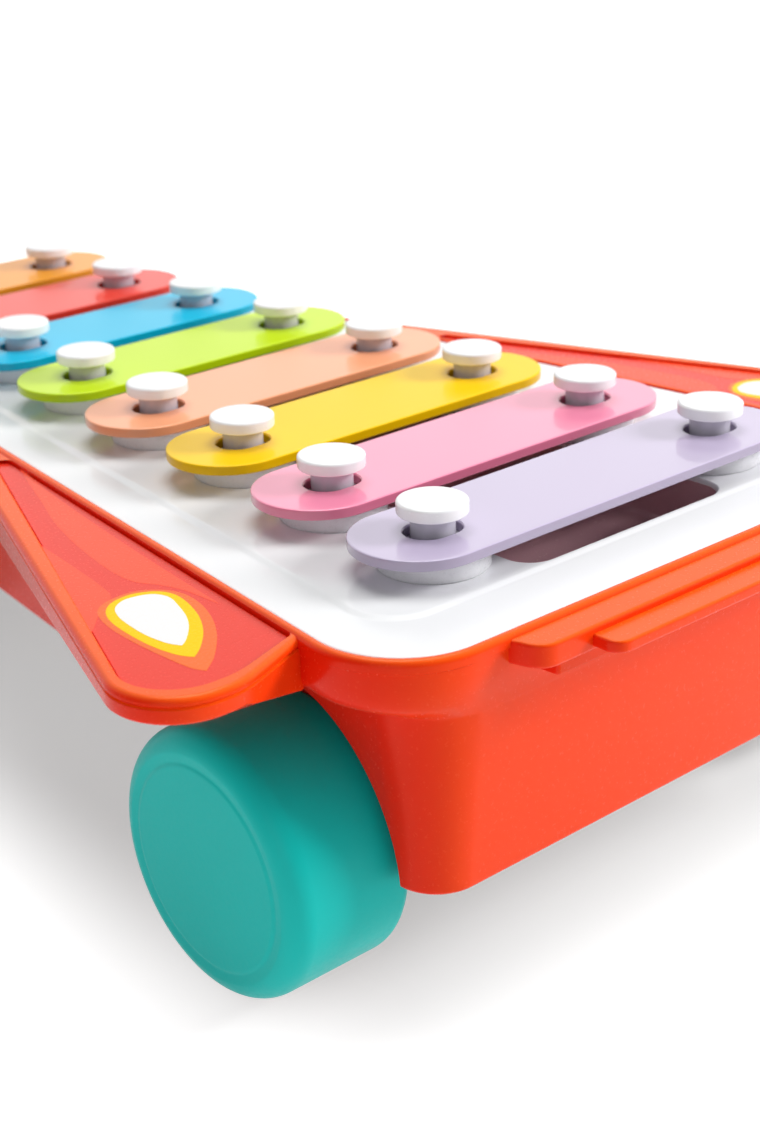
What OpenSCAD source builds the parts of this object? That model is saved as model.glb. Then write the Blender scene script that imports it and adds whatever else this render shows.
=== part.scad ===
// Toddler's toy xylophone on four wheels.
// A tapered moulded casing with two side fins carries a moulded deck; eight
// tuned steel bars lie on rest rings and are kept by capped pegs. Two steel
// axles run in beams of the base cover, with a wheel pressed on each end.
// Units mm. +Z up. Origin: on the floor, below the centre of the bounding box.
// -Y is the wide end (front axle), +Y the narrow end, -X is left. Lengthwise
// positions are counted from the longest bar, and place() shifts them.

/* [Bars] */
// Length of the longest bar
longest_bar = 104.5; // [102:0.5:106]
// Distance between neighbouring bar centre lines
bar_pitch = 30; // [29.5:0.25:30.5]
// Width of every bar
bar_w = 24.8; // [22:0.2:25.6]
// Thickness of the bar steel
bar_t = 2.0; // [1.6:0.1:2.4]
// Distance from a peg's centre to the end of its bar
peg_inset = 15.65; // [15:0.05:16]
// Length of the peg slot in a bar, along the bar
slot_len = 11; // [10:0.2:12]
// Width of the peg slot in a bar
slot_w = 8.3; // [8.1:0.1:9]

/* [Pegs and rings] */
// Diameter of the peg caps
cap_d = 12.6; // [12:0.2:14]
// Thickness of the peg caps
cap_t = 2.4; // [2:0.1:3]
// Gap between a resting bar and the cap above it
free_play = 3.05; // [2:0.05:3.5]
// Diameter of the peg necks
neck_d = 7.9; // [7.5:0.1:7.9]
// Outer diameter of the rest rings
ring_d = 20; // [18:0.5:20]
// Height of the rest rings
ring_h = 4.3; // [4:0.1:5]

/* [Casing] */
// Height of the deck's top above the floor
deck_top = 70.3; // [70:0.1:71]
// Half width of the deck beside the longest bar
deck_half = 69.4; // [69:0.1:70]
// Wall thickness of the casing
wall = 2.2; // [2:0.1:2.6]
// Radius of the wheel arches
arch_r = 27.5; // [27:0.25:28]

/* [Wheels] */
// Wheel diameter
wheel_d = 49.8; // [49:0.2:50]
// Wheel width
wheel_w = 25.8; // [24:0.2:26]
// Axle diameter
axle_d = 4; // [3.9:0.1:4.1]
// Radial running clearance of the axles in their beams
axle_clear = 0.05; // [0.03:0.01:0.09]

/* [Hidden] */
$fn = 72;

red = [0.93, 0.22, 0.10];
white = [0.96, 0.96, 0.95];
teal = [0.15, 0.70, 0.66];
steel = [0.72, 0.73, 0.75];
salmon = [0.98, 0.38, 0.30];

mid_y = 100.6;                // from the longest bar to the middle of the toy
taper = 0.12;                 // the sides close in by this much per mm

// Wheels and their wells: front, rear
axle_z = wheel_d / 2;
wheel_y = [9, 195];
wheel_in = [56.4, 34.5];      // inner face of the wheels from the centre line
well_in = [53.5, 31.5];       // inner end of the wheel wells
well_end_t = 2;               // thickness of the wall closing a well
wheel_bore_z = 6;             // start of the axle bore, from the outer face
axle_gap = 0.5;               // between the axle's end and the bore's floor

// Outlines: half width at y 0, y of wide and narrow end, their corner radii
foot = [60.6, -27.0, 239.6, 12.3, 14];
shoulder = [62.6, -28.6, 241.2, 12.3, 14];
rim = [71.5, -30.3, 243, 18, 22];
liner_foot = [60.2, -26.6, 239.2, 12, 13.6];
liner_shoulder = [62.2, -28.2, 240.8, 12, 13.6];
deck_plate = [deck_half, -28.2, 240.8, 16.85, 19.85];
field_foot = [60.2, -15.4, 232, 10, 12];
field_top = [58, -13.6, 230, 8.5, 10.5];

// Heights of the casing and deck
case_bot = 24.8;
shoulder_z = 59.6;
rim_foot_z = 62.0;
rim_top = 70.3;
plate_top = deck_top - 0.4;   // the raised field stands above the plate
plate_bot = plate_top - 2.5;
boss_bot = 56.5;              // underside of the peg bosses
neck_bot = 60;                // lower end of the peg necks
sound_well_bot = 57.8;
sound_well_wall = 1.6;
panel_floor = 68.6;           // floor of the fin panels' recesses

// Clearances
seat_gap = 0.15;              // deck edge to casing
base_gap = 0.3;               // base plate to casing

// Posts of the deck standing on posts of the base
post_pos = [[46, -20], [42.5, 75], [37, 135], [20, 229]];
post_joint_z = 44;
base_screw_z = 40.5;          // seat of the screw heads in the base posts
screw_way_r = 1.7;

// Bars and pegs
semitones = [0, 2, 4, 5, 7, 9, 11, 12];   // a major scale
bar_z = deck_top + ring_h;
cap_z = bar_z + bar_t + free_play;        // underside of the caps
function bar_len(i) = longest_bar * pow(2, -semitones[i] / 24);
function bar_y(i) = i * bar_pitch;
function peg_x(i) = bar_len(i) / 2 - peg_inset;

// ---- placing --------------------------------------------------------------
module place() { translate([0, -mid_y, 0]) children(); }
module both() {
  children();
  mirror([1, 0, 0]) children();
}
// turns +z to +x, starting at x on the centre line of axle k
module at_axle(k, x) { translate([x, wheel_y[k], axle_z]) rotate([0, 90, 0]) children(); }
// at every peg of one side, -1 left or 1 right
module at_pegs(side) {
  place() for (i = [0 : 7]) translate([side * peg_x(i), bar_y(i), 0]) children();
}

// ---- outlines and shared shapes -------------------------------------------
function unit(v) = v / norm(v);
function arc(centre, r, from, to, n) = [for (k = [0 : n])
  let (angle = from + (to - from) * k / n) centre + r * [cos(angle), sin(angle)]];
// polygon with rounded corners: n + 1 points on each corner's arc
function rounded(corners, radii, n = 6) = [for (i = [0 : len(corners) - 1])
  let (count = len(corners), r = radii[i], corner = corners[i],
       before = corners[(i + count - 1) % count],
       after = corners[(i + 1) % count],
       back = unit(before - corner), ahead = unit(after - corner),
       angle = acos(back * ahead),
       centre = corner + unit(back + ahead) * r / sin(angle / 2),
       start = corner + back * r / tan(angle / 2) - centre,
       from = atan2(start[1], start[0]),
       turn = (cross(corner - before, after - corner) > 0 ? 1 : -1) * (180 - angle))
  each arc(centre, r, from, from + turn, n)];
// tapered outline from a row as listed above, moved in by inset
function outline(row, inset = 0) =
  let (half = row[0] - inset, wide_y = row[1] + inset, narrow_y = row[2] - inset,
       wide_x = half - taper * wide_y, narrow_x = half - taper * narrow_y,
       wide_r = row[3] - inset, narrow_r = row[4] - inset)
  rounded([[-wide_x, wide_y], [wide_x, wide_y], [narrow_x, narrow_y], [-narrow_x, narrow_y]],
    [wide_r, wide_r, narrow_r, narrow_r], 8);
// closed body through outlines of equal point count at rising heights
module loft(outlines, heights) {
  n = len(outlines[0]);
  top = len(outlines) - 1;
  polyhedron(
    points = [for (k = [0 : top]) for (p = outlines[k]) [p[0], p[1], heights[k]]],
    faces = concat(
      [[for (i = [0 : n - 1]) i]],
      [for (k = [0 : top - 1]) for (i = [0 : n - 1])
        let (a = k * n + i, b = k * n + (i + 1) % n)
        each [[a, a + n, b + n], [a, b + n, b]]],
      [[for (i = [n - 1 : -1 : 0]) top * n + i]]),
    convexity = 6);
}
module slab(points, z0, z1) { translate([0, 0, z0]) linear_extrude(z1 - z0) polygon(points); }
// 64-sided drum along +z, for the wheel arches
module drum(r, h) {
  linear_extrude(h) polygon([for (i = [0 : 63]) r * [cos(5.625 * i), sin(5.625 * i)]]);
}
// bar with round ends, lengthwise along x
module stadium(length, width, height) {
  straight = length - width;
  translate([-straight / 2, -width / 2, 0]) cube([straight, width, height]);
  for (s = [-1, 1]) translate([s * straight / 2, 0, 0]) cylinder(d = width, h = height);
}
// cross-head screw, pointing up from the seat of its head at z 0
module screw(r, head_r) {
  head_h = 2;
  difference() {
    translate([0, 0, -head_h]) cylinder(r = head_r, h = head_h);
    translate([-0.4, -2, -2.5]) cube([0.8, 4, 1.3]);
    translate([-2, -0.4, -2.5]) cube([4, 0.8, 1.3]);
  }
  translate([0, 0, -0.1]) cylinder(r = r, h = 13);
}

// ---- left fin -------------------------------------------------------------
// point on the slanting outer edge at y, moved in by inset
function fin_edge(inset, y) = [-(103.94 - inset) + 0.36 * y, y];
fin_outline = rounded(
  [fin_edge(0, 137), fin_edge(0, -12.4), [-87.5, -12.8], [-71, -6.2], [-70.26, 2], [-54.54, 133]],
  [0.1, 12, 16, 0.8, 0.8, 0.1], 10);
fin_hollow = rounded(
  [[-58.5, 113], fin_edge(2.9, -9.4), [-86.8, -9.8], [-73, -4.6]],
  [1, 9.5, 18, 1], 8);
panel_recess = rounded(
  [[-57.9, 114], fin_edge(2.5, -8.8), [-86.5, -9.2], [-72.3, -4.2]],
  [1.6, 9.5, 18, 1.0], 10);
panel_outline = rounded(
  [[-58.2, 112], fin_edge(2.7, -8.6), [-86.5, -9.0], [-72.6, -4.1]],
  [1.5, 9.3, 17.8, 0.9], 10);

module fin() {
  difference() {
    slab(fin_outline, 64.6, 69.9);
    slab(fin_hollow, 60, 66.4);
  }
}
// the skirt deepens towards the casing
module fin_root() {
  hull() {
    translate([-73.2, -4.9, 61.2]) cylinder(r = 1.2, h = 6, $fn = 24);
    translate([-85, -10.3, 64.6]) cylinder(r = 1.2, h = 3, $fn = 24);
    translate([-69, -6.5, 61.2]) cylinder(r = 1.2, h = 6, $fn = 24);
  }
}
module fin_panel() { slab(panel_outline, panel_floor, panel_floor + 0.6); }
module panel_left() color(salmon) place() fin_panel();
module panel_right() color(salmon) place() mirror([1, 0, 0]) fin_panel();

// ---- casing ---------------------------------------------------------------
module shell() {
  difference() {
    loft([outline(foot), outline(shoulder), outline(rim), outline(rim)],
      [case_bot, shoulder_z, rim_foot_z, rim_top]);
    // hollow inside, open at the bottom
    loft([outline(foot, wall), outline(shoulder, wall)], [case_bot - 1, 68]);
    // seat of the deck
    slab(outline(deck_plate, -seat_gap), plate_bot, rim_top + 2);
  }
}
// liners of the four wheel wells, closed on the inside
module well_liners() {
  reach = 80;
  intersection() {
    both() for (k = [0, 1]) at_axle(k, -reach)
      drum(arch_r + wall, reach - well_in[k] + well_end_t);
    loft([outline(liner_foot), outline(liner_shoulder)], [case_bot, shoulder_z]);
  }
}
// strip across the wide end; near and far are its [half width, y] by the
// casing and away from it, radii their corners'
module end_strip(near, far, radii, n, z0, z1) {
  slab(rounded([[-near[0], near[1]], [-far[0], far[1]], far, near],
    [radii[0], radii[1], radii[1], radii[0]], n), z0, z1);
}
module casing() color(red) place() difference() {
  union() {
    shell();
    well_liners();
    both() fin();
    both() fin_root();
    // stepped ledge, with a rib below it
    end_strip([48.8, -28.8], [46.6, -36.1], radii = [0.5, 4.5], n = 6, z0 = 65.1, z1 = 69.45);
    end_strip([35.6, -34], [35.6, -41.8], radii = [0.5, 3], n = 6, z0 = 65.9, z1 = 68.2);
    end_strip([42, -28], [41.4, -34.2], radii = [0.5, 0.8], n = 3, z0 = 62.1, z1 = 65.3);
  }
  // wheel wells through the side walls
  both() for (k = [0, 1]) at_axle(k, -110) drum(arch_r, 110 - well_in[k]);
  // notches that let the axle beams reach the wheels
  both() for (k = [0, 1]) translate([-well_in[k] - 4, wheel_y[k] - 6, 10])
    cube([8, 12, 21.2]);
  both() slab(panel_recess, panel_floor, 72);
}

// ---- deck -----------------------------------------------------------------
// sound well below bar i, between its rest rings, grown by grow
function sound_well(i, grow, r) =
  let (x = peg_x(i) - ring_d / 2 - 0.3 + grow, half = 13 + grow, y = bar_y(i))
  rounded([[-x, y - half], [x, y - half], [x, y + half], [-x, y + half]], [r, r, r, r], 5);
module deck() color(white) place() difference() {
  union() {
    slab(outline(deck_plate), plate_bot, plate_top);
    // raised field with a sloping edge
    loft([outline(field_foot), outline(field_top)], [deck_top - 1, deck_top]);
    for (i = [0 : 7]) {
      both() translate([peg_x(i), bar_y(i), boss_bot]) cylinder(r = 6.5, h = 12);
      slab(sound_well(i, sound_well_wall, 6), sound_well_bot, 68.5);
    }
    both() for (p = post_pos) translate([p[0], p[1], post_joint_z]) cylinder(r = 3.6, h = 24);
  }
  for (i = [0 : 7]) {
    // socket of the peg, and the way of its screw
    both() translate([peg_x(i), bar_y(i), neck_bot]) cylinder(d = neck_d + 0.1, h = 14);
    both() translate([peg_x(i), bar_y(i), 50]) cylinder(r = screw_way_r, h = 14);
    slab(sound_well(i, 0, 5), sound_well_bot + sound_well_wall, 72);
  }
  // screw holes in the posts
  both() for (p = post_pos) translate([p[0], p[1], 40]) cylinder(r = 1.35, h = 20);
}

// ---- bars -----------------------------------------------------------------
module bar(i, c) color(c) place() translate([0, bar_y(i), bar_z]) difference() {
  stadium(bar_len(i), bar_w, bar_t);
  both() translate([peg_x(i), 0, -1]) stadium(slot_len, slot_w, bar_t + 2);
}

// ---- pegs, rings and their screws -----------------------------------------
module peg() {
  cap_r = cap_d / 2;
  chamfer = 0.3;
  round_r = 0.7;
  difference() {
    union() {
      translate([0, 0, cap_z]) rotate_extrude() polygon(concat(
        [[0, 0], [cap_r - chamfer, 0], [cap_r, chamfer]],
        arc([cap_r - round_r, cap_t - round_r], round_r, 0, 90, 4),
        [[0, cap_t]]));
      translate([0, 0, neck_bot]) cylinder(d = neck_d, h = cap_z - neck_bot + 0.1);
    }
    translate([0, 0, neck_bot - 1]) cylinder(r = 1.3, h = 14);
  }
}
module ring() translate([0, 0, deck_top]) difference() {
  cylinder(d = ring_d, h = ring_h);
  translate([0, 0, -1]) cylinder(r = neck_d / 2 + 0.1, h = ring_h + 2);
}
module peg_screw() translate([0, 0, boss_bot]) screw(r = 1.28, head_r = 2.8);
module pegs_left() color(white) at_pegs(-1) peg();
module pegs_right() color(white) at_pegs(1) peg();
module rings_left() color(white) at_pegs(-1) ring();
module rings_right() color(white) at_pegs(1) ring();
module peg_screws_left() color(steel) at_pegs(-1) peg_screw();
module peg_screws_right() color(steel) at_pegs(1) peg_screw();

// ---- base with axle beams -------------------------------------------------
// half length of a beam, which stops short of the walls closing the wells
function beam_half(k) = well_in[k] - well_end_t - base_gap;
module base_plate() {
  cutout_half = arch_r + wall + 0.5;
  difference() {
    slab(outline(foot, wall + base_gap), case_bot, 27.2);
    // cutouts around the wheel wells
    both() for (k = [0, 1]) translate([-90, wheel_y[k] - cutout_half, case_bot - 1])
      cube([90 - beam_half(k), 2 * cutout_half, 6]);
  }
}
module axle_beam(k) {
  width = 14;
  height = 11.6;
  translate([-beam_half(k), wheel_y[k] - width / 2, axle_z - height / 2])
    cube([2 * beam_half(k), width, height]);
  // round bosses that reach out to the wheels
  both() at_axle(k, -wheel_in[k] + 0.4) cylinder(r = 5.4, h = 8);
}
module base() color(red) place() difference() {
  union() {
    base_plate();
    for (k = [0, 1]) axle_beam(k);
    both() for (p = post_pos) translate([p[0], p[1], case_bot])
      cylinder(r = 3.9, h = post_joint_z - case_bot);
    // stiffening ribs on the inside
    for (y = [52, 102, 152]) translate([-34, y - 1, 26]) cube([68, 2, 6]);
  }
  for (k = [0, 1]) at_axle(k, -70) cylinder(r = axle_d / 2 + axle_clear, h = 140);
  // ways of the screw heads and shanks
  both() for (p = post_pos) translate([p[0], p[1], 20]) {
    cylinder(r = 3.0, h = base_screw_z - 20);
    cylinder(r = screw_way_r, h = 30);
  }
}
module base_screws() color(steel) place() for (s = [-1, 1]) for (p = post_pos)
  translate([s * p[0], p[1], base_screw_z]) screw(r = 1.33, head_r = 2.7);

// ---- axles and wheels: k is 0 front, 1 rear -------------------------------
module axle(k) {
  half = wheel_in[k] + wheel_w - wheel_bore_z - axle_gap;
  color(steel) place() at_axle(k, -half) cylinder(d = axle_d, h = 2 * half);
}
// wheel with its outer face at z 0 and its axis along +z
module wheel_solid() {
  edge_r = 4.6;               // rounding of the tread's edges
  shell_t = 2.6;
  groove = 0.25;              // setback of the face outside its hub disc
  edge_x = wheel_d / 2 - edge_r;
  inside_r = edge_r - shell_t;
  low = [edge_x, edge_r];
  high = [edge_x, wheel_w - edge_r];
  difference() {
    union() {
      rotate_extrude($fn = 96) polygon(concat(
        [[0, 0], [18.6, 0], [18.9, groove], [edge_x - 0.2, groove]],
        arc(low, edge_r, -88, 0, 7),
        arc(high, edge_r, 0, 90, 7),
        [[edge_x - 1, wheel_w]],
        arc(high, inside_r, 90, 0, 4),
        arc(low, inside_r, 0, -90, 4),
        [[0, shell_t]]));
      // hub and six spokes
      cylinder(r = 5.6, h = wheel_w);
      for (a = [0 : 60 : 300]) rotate([0, 0, a]) translate([4.5, -1, 1])
        cube([wheel_d / 2 - 6, 2, 19]);
    }
    // bore, a press fit on the axle
    translate([0, 0, wheel_bore_z]) cylinder(r = axle_d / 2 - 0.01, h = wheel_w);
  }
}
module wheel(k, side) color(teal) place() scale([side, 1, 1])
  translate([wheel_in[k] + wheel_w, wheel_y[k], axle_z]) rotate([0, -90, 0]) wheel_solid();

casing();
deck();
bar(0, [0.80, 0.74, 0.86]);  // bar_c_low
bar(1, [0.98, 0.58, 0.72]);  // bar_d
bar(2, [1.0, 0.82, 0.05]);  // bar_e
bar(3, [1.0, 0.62, 0.45]);  // bar_f
bar(4, [0.68, 0.88, 0.10]);  // bar_g
bar(5, [0.05, 0.68, 0.86]);  // bar_a
bar(6, [0.93, 0.25, 0.20]);  // bar_b
bar(7, [1.0, 0.58, 0.20]);  // bar_c_high
pegs_left();
pegs_right();
rings_left();
rings_right();
peg_screws_left();
peg_screws_right();
panel_left();
panel_right();
base();
base_screws();
axle(0);  // axle_front
axle(1);  // axle_rear
wheel(0, -1);  // wheel_front_left
wheel(0, 1);  // wheel_front_right
wheel(1, -1);  // wheel_rear_left
wheel(1, 1);  // wheel_rear_right
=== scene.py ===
# Toy glockenspiel on four wheels: eight enamelled bars on pegs, a white deck, a red-orange
# casing with a long printed fin on each side, and teal wheels.
# The wide end with the longest bar is the front and faces -Y, left is -X, and it stands on Z = 0.
# Lengths are millimetres with Y counted from the longest bar's centre line, unless marked metres.
import math
import bpy
import bmesh
from mathutils import Vector, Matrix


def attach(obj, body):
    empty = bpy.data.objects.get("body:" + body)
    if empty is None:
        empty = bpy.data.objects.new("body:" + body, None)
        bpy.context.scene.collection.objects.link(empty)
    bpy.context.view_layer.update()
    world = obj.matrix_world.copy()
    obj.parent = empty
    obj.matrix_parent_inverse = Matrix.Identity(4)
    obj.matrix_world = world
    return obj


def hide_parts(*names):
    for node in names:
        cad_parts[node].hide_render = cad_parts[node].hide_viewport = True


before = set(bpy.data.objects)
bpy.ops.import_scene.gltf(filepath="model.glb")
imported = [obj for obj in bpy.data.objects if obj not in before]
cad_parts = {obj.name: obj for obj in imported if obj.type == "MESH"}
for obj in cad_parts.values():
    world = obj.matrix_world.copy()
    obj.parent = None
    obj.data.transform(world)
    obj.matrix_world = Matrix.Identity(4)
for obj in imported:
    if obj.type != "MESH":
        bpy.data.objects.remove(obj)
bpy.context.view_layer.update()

scene = bpy.context.scene

# ---------------------------------------------------------------------------
# Main dimensions
# ---------------------------------------------------------------------------
ORIGIN_Y = 100.6            # the frame's origin, counted from the longest bar

LONGEST_BAR, BAR_WIDTH, BAR_THICK = 104.5, 24.8, 2.0
BAR_PITCH = 30.0
PEG_FROM_END = 15.65        # peg centre to bar end
BARS = [  # name, semitones above the longest, pigment, clear coat weight, specular level
    ("bar_c_low", 0, (0.56, 0.48, 0.66), 1.0, 0.5),
    ("bar_d", 2, (0.96, 0.27, 0.43), 1.0, 0.5),
    ("bar_e", 4, (1.0, 0.63, 0.002), 0.14, 0.15),
    ("bar_f", 5, (0.98, 0.41, 0.21), 0.50, 0.35),
    ("bar_g", 7, (0.58, 0.80, 0.006), 0.26, 0.2),
    ("bar_a", 9, (0.004, 0.52, 0.78), 0.28, 0.2),
    ("bar_b", 11, (0.86, 0.06, 0.035), 0.32, 0.25),
    ("bar_c_high", 12, (0.90, 0.36, 0.03), 0.26, 0.2),
]
# a bar sounds an octave higher at 1 / sqrt(2) of the length
bar_lengths = [LONGEST_BAR * 2 ** (-semitones / 24) for _, semitones, *_ in BARS]
bar_ys = [BAR_PITCH * i for i in range(len(BARS))]
peg_xs = [length / 2 - PEG_FROM_END for length in bar_lengths]

DECK_TOP = 70.3
REST_RING_HEIGHT = 4.3
BAR_PLAY = 3.05             # free height between bar and peg cap
CAP_THICK = 2.4
BAR_Z = DECK_TOP + REST_RING_HEIGHT
BAR_TOP = BAR_Z + BAR_THICK
CAP_Z = BAR_TOP + BAR_PLAY
CAP_TOP = CAP_Z + CAP_THICK

WHEEL_RADIUS, WHEEL_WIDTH = 24.9, 25.8
AXLE_Z = WHEEL_RADIUS
WHEELS = [  # end, axle y, inner face of the wheel from the centre, inner wall of the wheel well
    ("front", 9.0, 57.1, 53.5),
    ("rear", 195.0, 35.2, 31.5),
]
CASE_BOTTOM, CREASE, RIM = 24.8, 59.6, DECK_TOP
WALL = 2.2
TAPER = 0.12                # each side closes in by this much per millimetre of y

TOOL_ANGLE = 35.0           # sharp-edge angle of boolean tools, degrees


# ---------------------------------------------------------------------------
# Outlines: closed loops of (x, y), counter-clockwise
# ---------------------------------------------------------------------------
def rounded(corners, radii, steps):
    """Replaces each corner by an arc of the given radius."""
    outline, count = [], len(corners)
    for i in range(count):
        before, corner, after = (Vector(corners[j]) for j in (i - 1, i, (i + 1) % count))
        back, ahead = (before - corner).normalized(), (after - corner).normalized()
        angle = math.acos(max(-1.0, min(1.0, back.dot(ahead))))
        radius = radii[i]
        centre = corner + (back + ahead).normalized() * (radius / math.sin(angle / 2))
        start = corner + back * (radius / math.tan(angle / 2)) - centre
        first = math.atan2(start.y, start.x)
        edge_in, edge_out = corner - before, after - corner
        turn = edge_in.x * edge_out.y - edge_in.y * edge_out.x
        sweep = (1 if turn > 0 else -1) * (math.pi - angle)
        for k in range(steps + 1):
            a = first + sweep * k / steps
            outline.append((centre.x + radius * math.cos(a), centre.y + radius * math.sin(a)))
    return outline


def inset(corners, depths):
    """Moves edge i, from corner i to corner i + 1, inwards by depths[i]."""
    count, lines, moved = len(corners), [], []
    for i in range(count):
        a, b = corners[i], corners[(i + 1) % count]
        dx, dy = b[0] - a[0], b[1] - a[1]
        length = math.hypot(dx, dy)
        lines.append((a[0] - dy / length * depths[i], a[1] + dx / length * depths[i],
                      dx / length, dy / length))
    for i in range(count):
        x1, y1, dx1, dy1 = lines[i - 1]
        x2, y2, dx2, dy2 = lines[i]
        t = ((x2 - x1) * dy2 - (y2 - y1) * dx2) / (dx1 * dy2 - dy1 * dx2)
        moved.append((x1 + t * dx1, y1 + t * dy1))
    return moved


def inset_rounded(corners, radii, depth, steps, kept_edges=(), kept_radii=()):
    """Rounded outline moved inwards, except for the edges and radii that are kept."""
    depths = [0 if i in kept_edges else depth for i in range(len(corners))]
    new_radii = [r if i in kept_radii else max(r - depth, 0.15) for i, r in enumerate(radii)]
    return rounded(inset(corners, depths), new_radii, steps)


# A trapezoid is (half width at y = 0, front y, back y, front radius, back radius).
def trapezoid(shape, depth=0.0):
    """Outline of a trapezoid, moved inwards by depth."""
    half, front, back, front_radius, back_radius = shape
    half -= depth * 1.0072  # the slanted side needs slightly more than depth along x
    front, back = front + depth, back - depth
    r_front, r_back = max(front_radius - depth, 0.3), max(back_radius - depth, 0.3)
    half_front, half_back = half - TAPER * front, half - TAPER * back
    return rounded([(-half_front, front), (half_front, front), (half_back, back),
                    (-half_back, back)], [r_front, r_front, r_back, r_back], 20)


def tighter(shape, gap):
    """Trapezoid with every value drawn in by the gap."""
    half, front, back, front_radius, back_radius = shape
    return (half - gap, front + gap, back - gap, front_radius - gap, back_radius - gap)


def mix(a, b, t):
    return tuple(p + (q - p) * t for p, q in zip(a, b))


def stadium(length, width, cx, cy, steps):
    """Strip along x with half-round ends."""
    half = (length - width) / 2
    outline = []
    for side, first in ((1, -90), (-1, 90)):
        for k in range(steps + 1):
            a = math.radians(first + 180 * k / steps)
            outline.append((cx + side * half + width / 2 * math.cos(a),
                            cy + width / 2 * math.sin(a)))
    return outline


def smooth_loop(points, sharp_start=False, steps=8):
    """Catmull-Rom curve through the points, with an optional sharp tip at the first."""
    outline, count = [], len(points)
    for i in range(count):
        p0, p1, p2, p3 = (Vector(points[(i + j) % count]) for j in (-1, 0, 1, 2))
        if sharp_start and i == 0:
            p0 = p1
        if sharp_start and i == count - 1:
            p3 = p2
        for k in range(steps):
            t = k / steps
            p = 0.5 * ((2 * p1) + (p2 - p0) * t + (2 * p0 - 5 * p1 + 4 * p2 - p3) * t * t
                       + (3 * p1 - p0 - 3 * p2 + p3) * t ** 3)
            outline.append((p.x, p.y))
    return outline


def at(outline, z):
    """Lifts an outline to the height z, a number or a function of x and y."""
    return [(x, y, z(x, y) if callable(z) else z) for x, y in outline]


def arc(cx, cy, radius, first, last, steps):
    angles = [math.radians(first + (last - first) * k / steps) for k in range(steps + 1)]
    return [(cx + radius * math.cos(a), cy + radius * math.sin(a)) for a in angles]


def spread(last, count, start=0):
    """Even steps from 0 to last, beginning with step number start."""
    return [last * k / count for k in range(start, count + 1)]


def foot_round(radius, angles):
    """(inset, rise) steps round a lower edge, 0 degrees underneath and 90 on the wall."""
    return [(radius * (1 - math.sin(a)), radius * (1 - math.cos(a)))
            for a in map(math.radians, angles)]


def top_round(inward, height, angles):
    """(inset, rise) steps round an upper edge, 0 degrees on the wall and 90 on top."""
    return [(inward * (1 - math.cos(a)), height * math.sin(a))
            for a in map(math.radians, angles)]


# ---------------------------------------------------------------------------
# Parts: pairs of (vertices, faces), and the objects made from them
# ---------------------------------------------------------------------------
def loft(rings, wrap=False):
    """Skin over rings of equal count, capped at both ends or wrapped into a loop."""
    count, levels = len(rings[0]), len(rings)
    verts = [p for ring in rings for p in ring]
    faces = []
    for k in range(levels if wrap else levels - 1):
        a, b = k * count, ((k + 1) % levels) * count
        for i in range(count):
            j = (i + 1) % count
            faces.append((a + i, a + j, b + j, b + i))
    if not wrap:
        faces.append(tuple(range(count - 1, -1, -1)))
        faces.append(tuple((levels - 1) * count + i for i in range(count)))
    return verts, faces


def lathe(profile, steps, place, closed=False):
    """Turns a profile of (radius, height); place(x, y, height) gives the point."""
    verts, faces, rows = [], [], []
    for radius, height in profile:
        if radius < 1e-6:
            rows.append([len(verts)] * steps)
            verts.append(place(0.0, 0.0, height))
        else:
            rows.append(list(range(len(verts), len(verts) + steps)))
            for k in range(steps):
                a = 2 * math.pi * k / steps
                verts.append(place(radius * math.cos(a), radius * math.sin(a), height))
    count = len(profile)
    for i in range(count if closed else count - 1):
        row, above = rows[i], rows[(i + 1) % count]
        for k in range(steps):
            j = (k + 1) % steps
            # at the axis two corners fall together and are kept once
            face = tuple(dict.fromkeys((row[k], row[j], above[j], above[k])))
            if len(face) > 2:
                faces.append(face)
    return verts, faces


def mirrored(part):
    verts, faces = part
    return [(-x, y, z) for x, y, z in verts], [tuple(reversed(face)) for face in faces]


def both_sides(part):
    return [part, mirrored(part)]


def shade(obj, angle):
    """Smooth faces with sharp edges above the angle."""
    for face in obj.data.polygons:
        face.use_smooth = True
    obj.data.set_sharp_from_angle(angle=math.radians(angle))


def build(name, parts, finish=None, angle=TOOL_ANGLE, weighted=False):
    """Makes one object, in the frame's metres, from a list of parts."""
    verts, faces = [], []
    for part_verts, part_faces in parts:
        start = len(verts)
        verts += [(x * 0.001, (y - ORIGIN_Y) * 0.001, z * 0.001) for x, y, z in part_verts]
        faces += [tuple(start + i for i in face) for face in part_faces]
    mesh = bpy.data.meshes.new(name)
    mesh.from_pydata(verts, [], faces)
    bm = bmesh.new()
    bm.from_mesh(mesh)
    bmesh.ops.recalc_face_normals(bm, faces=bm.faces)
    bm.to_mesh(mesh)
    bm.free()
    obj = bpy.data.objects.new(name, mesh)
    scene.collection.objects.link(obj)
    shade(obj, angle)
    if weighted:
        modifier = obj.modifiers.new("weighted", "WEIGHTED_NORMAL")
        modifier.keep_sharp = True
        modifier.weight = 80
    if finish:
        mesh.materials.append(finish)
    return obj


def combine(target, tool, operation):
    """Applies a boolean to the target's mesh and removes the tool."""
    if not tool.data.materials:
        for mat in target.data.materials:
            tool.data.materials.append(mat)
    # only the boolean is baked in, so the other modifiers rest meanwhile
    for modifier in target.modifiers:
        modifier.show_viewport = False
    cut = target.modifiers.new("cut", "BOOLEAN")
    cut.operation = operation
    cut.object = tool
    cut.solver = "MANIFOLD"
    depsgraph = bpy.context.evaluated_depsgraph_get()
    mesh = bpy.data.meshes.new_from_object(target.evaluated_get(depsgraph),
                                           preserve_all_data_layers=True, depsgraph=depsgraph)
    target.modifiers.remove(cut)
    for modifier in target.modifiers:
        modifier.show_viewport = True
    name = target.data.name
    target.data = mesh
    mesh.name = name
    bpy.data.objects.remove(tool)


def add_parts(target, parts):
    combine(target, build("tool", parts), "UNION")


def cut_parts(target, parts, finish=None):
    combine(target, build("tool", parts, finish), "DIFFERENCE")


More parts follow.
